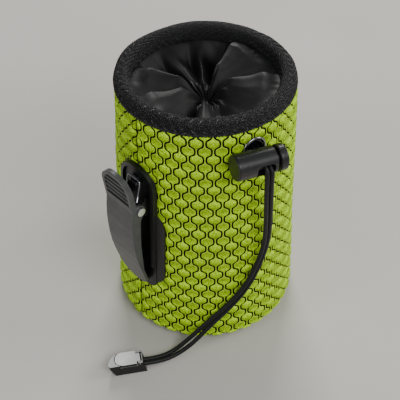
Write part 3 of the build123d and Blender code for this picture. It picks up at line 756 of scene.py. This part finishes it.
def build_skirt():
    nth = 540
    nr = 130
    th = np.linspace(0, 2 * PI, nth, endpoint=False)
    r = np.concatenate([np.linspace(1.3, 8.0, nr // 4, endpoint=False), np.linspace(8.0, 35.9, nr - nr // 4)])
    TH, RR = np.meshgrid(th, r, indexing="ij")
    deg = np.degrees(TH)
    # the folds swirl a little as they run in to the gather
    swirl = 7.0 * np.exp(-RR / 10.0) * np.sin(TH * 2 + 0.6) + 2.4 * value_noise(TH / (2 * PI) * 9, RR / 9.0, 31, wrap_x=9)
    xs = np.array([f[0] for f in FOLDS], float)
    ys = np.array([f[1] for f in FOLDS], float)
    prof = np.interp((deg + swirl) % 360, xs, ys)
    # smooth the profile over a degree or two
    k = np.exp(-(np.arange(-8, 9) / 3.0) ** 2)
    k /= k.sum()
    pad = np.concatenate([prof[-8:], prof, prof[:8]], 0)
    prof = np.stack([np.convolve(pad[:, i], k, "valid") for i in range(prof.shape[1])], 1)
    base_r = np.array([0, 1.3, 3.0, 5.0, 8.0, 14.0, 20.0, 25.0, 30.0, 33.5, 35.9])
    base_z = np.array([115.0, 116.5, 118.8, 120.7, 121.9, 122.6, 123.2, 124.4, 126.6, 128.8, 130.4])
    spread = 2.2 * smoothstep(RR, 6.0, 12.0)
    zb = sum(np.interp(RR + d * spread, base_r, base_z) for d in (-1.0, -0.5, 0.0, 0.5, 1.0)) / 5
    amp = 7.8 * smoothstep(RR, 0.5, 12.5) * (1 - 0.84 * smoothstep(RR, 25.5, 35.0)) + 0.15
    # valleys stay shallow over the drawcord in the hem
    z = zb + amp * prof * np.where(prof < 0, 0.25 + 0.75 * smoothstep(RR, 8.0, 15.0), 1.0)
    # the big back fold stands up to the rim
    back = np.exp(-((deg - 50) / 20.0) ** 2) * smoothstep(RR, 13, 24) * (1 - smoothstep(RR, 32.5, 35.8))
    z += 0.9 * back
    # pleats packed round the gather, puckers where the skirt is sewn to the rim
    jit = value_noise(TH / (2 * PI) * 22, RR / 6.0, 32, wrap_x=22)
    z += 0.75 * smoothstep(RR, 1.3, 4.0) * (1 - smoothstep(RR, 6.0, 14.0)) * np.sin(17 * TH + 2.6 * jit)
    z += 0.13 * smoothstep(RR, 28.0, 34.0) * np.sin(33 * TH + 4.0 * jit)
    # long soft wrinkles that follow the folds, and a few crossways ones
    w1 = value_noise(TH / (2 * PI) * 46, RR / 15.0, 33, wrap_x=46)
    w2 = value_noise(TH / (2 * PI) * 17, RR / 5.0, 34, wrap_x=17)
    z += 0.20 * w1 * smoothstep(RR, 4, 12) * (1 - 0.5 * smoothstep(RR, 28, 34)) + 0.34 * w2 * smoothstep(RR, 6, 14)
    # crests lean back over the valley behind them
    lean = np.clip(prof, 0, 1.2) * amp * 0.16 * (1 - smoothstep(RR, 22.0, 31.0))
    a = TH - math.radians(VIEW_AZ)
    x = RR * np.cos(a) + lean * math.sin(math.radians(VIEW_AZ)) * 1.0
    y = RR * np.sin(a) + lean * math.cos(math.radians(VIEW_AZ)) * 1.0
    rr = np.hypot(x, y)
    lim = 35.9
    f = np.where(rr > lim, lim / rr, 1.0)
    x, y = x * f, y * f
    z = np.minimum(z, 133.6)
    co = np.stack([x, y, z], -1).reshape(-1, 3)
    faces = grid_faces(nth, len(r), wrap_u=True, flip=True)
    ob = make_mesh("gathered_skirt", co, faces, M["nylon"])
    return ob


skirt = build_skirt()


def mesh_area(ob):
    me = ob.data
    a = np.zeros(len(me.polygons))
    me.polygons.foreach_get("area", a)
    return float(a.sum())


skirt_area = mesh_area(skirt)
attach(skirt, "pouch")
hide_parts("closure_skirt")
print("skirt area", skirt_area)


# ------------------------------------------------------------------ eyelet
def lathe(profile, origin, x_dir, z_dir, sides):
    p = np.array(profile, float)
    x = np.array(x_dir, float); zc = np.array(z_dir, float)
    x /= np.linalg.norm(x); zc /= np.linalg.norm(zc)
    y = np.cross(zc, x)
    a = np.linspace(0, 2 * PI, sides, endpoint=False)
    co = (np.array(origin)[None, None, :] + p[None, :, 0:1] * (np.cos(a)[:, None, None] * x + np.sin(a)[:, None, None] * y)
          + p[None, :, 1:2] * zc)
    return co.reshape(-1, 3), grid_faces(sides, len(p), wrap_u=True, wrap_v=True).tolist()


ea = math.radians(-5.6)
e_out = np.array([math.sin(ea), -math.cos(ea), 0.0])
e_norm = np.array([e_out[0] * math.cos(SLOPE), e_out[1] * math.cos(SLOPE), math.sin(SLOPE)])
e_tan = np.array([math.cos(ea), math.sin(ea), 0.0])
e_pos = e_out * wall_r(120.3) + np.array([0, 0, 120.3])
eye_prof = [(3.72, -4.3), (3.70, -0.6), (3.74, 0.35), (3.95, 0.72), (4.35, 0.90), (4.9, 0.86), (5.45, 0.62), (5.78, 0.28),
            (5.74, 0.06), (5.3, 0.02), (4.5, 0.05), (4.22, -0.5), (4.2, -4.3)]
co, faces = lathe(eye_prof, e_pos, e_tan, e_norm, 96)
eyelet = make_mesh("eyelet_flange", co, faces, M["eyelet"])
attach(eyelet, "pouch")
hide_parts("eyelet_ring")

# ------------------------------------------------------------------ springs
px, pz = -(wall_r(87.0) + 7.0), 87.0
turn_c, turn_s = math.cos(math.radians(6.9)), math.sin(math.radians(6.9))


def clip_place(p):
    """From the clip's own axes, drawn at -X, to where it is fastened."""
    p = np.asarray(p, float)
    return np.stack([p[:, 0] * turn_c - p[:, 1] * turn_s, p[:, 0] * turn_s + p[:, 1] * turn_c, p[:, 2]], 1)


turns = np.linspace(0, 8 * 2 * PI, 8 * 40)
cy = np.interp(turns, [0, turns[-1]], [4.2, -4.2])
helix = np.stack([px + 2.3 * np.cos(turns + PI * 0.1), cy, pz + 2.3 * np.sin(turns + PI * 0.1)], 1)


def leg(*pts):
    p = np.array(pts, float)
    q = [p[0]]
    for a, b, c in zip(p, p[1:], p[2:]):
        u, v = a + (b - a) * (1 - 0.9 / np.linalg.norm(b - a)), b + (c - b) * (0.9 / np.linalg.norm(c - b))
        t = np.linspace(0, 1, 7)[:, None]
        q += list((1 - t) ** 2 * u + 2 * t * (1 - t) * b + t * t * v)
    q.append(p[-1])
    return np.array(q)


frame_wire = leg((px + 2.2, 4.3, pz + 0.8), (px + 4.9, 4.0, pz + 11.4), (px + 4.9, -4.0, pz + 11.4), (px + 2.2, -4.3, pz + 0.8))
down = leg((px - 1.9, 0.0, pz - 1.2), (px - 2.9, 0.0, pz - 5.0), (px - 3.0, 0.0, pz - 8.0))
parts = [tube(clip_place(q), 0.42, 10) for q in (helix, frame_wire, down)]
co, faces = join(parts)
tspring = make_mesh("clip_torsion_spring", co, faces, M["spring"])
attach(tspring, "pouch")
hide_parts("clip_spring")

ld = np.array([0.9768, -0.2054, -0.0601]); ld /= np.linalg.norm(ld)
lh = np.array([-0.2054, -0.9768, 0.0]); lh /= np.linalg.norm(lh)
lk = np.cross(ld, lh)
LC = np.array([-7.4, -48.35, 119.0])
turns = np.linspace(0, 3 * 2 * PI, 3 * 40)
s = np.interp(turns, [0, turns[-1]], [-9.7, -6.8])
coil = LC + s[:, None] * ld + 2.9 * (np.cos(turns)[:, None] * lh + np.sin(turns)[:, None] * lk)
co, faces = tube(coil, 0.26, 10)
lspring = make_mesh("lock_coil_spring", co, faces, M["spring"])
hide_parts("cord_lock_spring")
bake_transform(lspring)

for name in ("drawcord_a", "drawcord_b"):
    ob, line = cords[name]

# ------------------------------------------------------------------ stage and light
me = bpy.data.meshes.new("floor")
me.from_pydata([(-3, -3, -0.0003), (3, -3, -0.0003), (3, 3, -0.0003), (-3, 3, -0.0003)], [], [(0, 1, 2, 3)])
floor = bpy.data.objects.new("floor", me)
scene.collection.objects.link(floor)
fm = Nodes("pale_floor")
fm.set(base=fm.ramp(fm.noise(6, 2, 0.5), [(0.3, (0.51, 0.48, 0.45)), (0.7, (0.55, 0.52, 0.49))]), rough=0.75, spec=0.2)
me.materials.append(fm.mat)

world = bpy.data.worlds.new("soft_studio")
scene.world = world
world.use_nodes = True
world.node_tree.nodes["Background"].inputs[0].default_value = (0.93, 0.96, 1.0, 1)
world.node_tree.nodes["Background"].inputs[1].default_value = 0.26


def area(name, loc, look, size, power, color=(1, 1, 1)):
    li = bpy.data.lights.new(name, "AREA")
    li.shape = "RECTANGLE"
    li.size, li.size_y = size
    li.energy = power
    li.color = color
    ob = bpy.data.objects.new(name, li)
    scene.collection.objects.link(ob)
    ob.location = loc
    ob.rotation_mode = "QUATERNION"
    ob.rotation_quaternion = (Vector(look) - Vector(loc)).to_track_quat("-Z", "Y")
    return ob


area("back", (0.66, 0.88, 1.02), (-0.02, -0.02, 0.05), (0.55, 0.55), 17.0, (1.0, 0.99, 0.97))
area("right", (0.95, -0.55, 0.62), (0, 0, 0.06), (0.5, 0.5), 6.0, (1.0, 0.98, 0.95))
area("front", (-0.10, -0.95, 0.95), (0, 0, 0.06), (0.7, 0.5), 8.5, (0.98, 0.98, 1.0))
area("left", (-1.0, 0.05, 0.45), (-0.04, 0, 0.07), (0.35, 0.6), 2.2, (1.0, 1.0, 1.0))
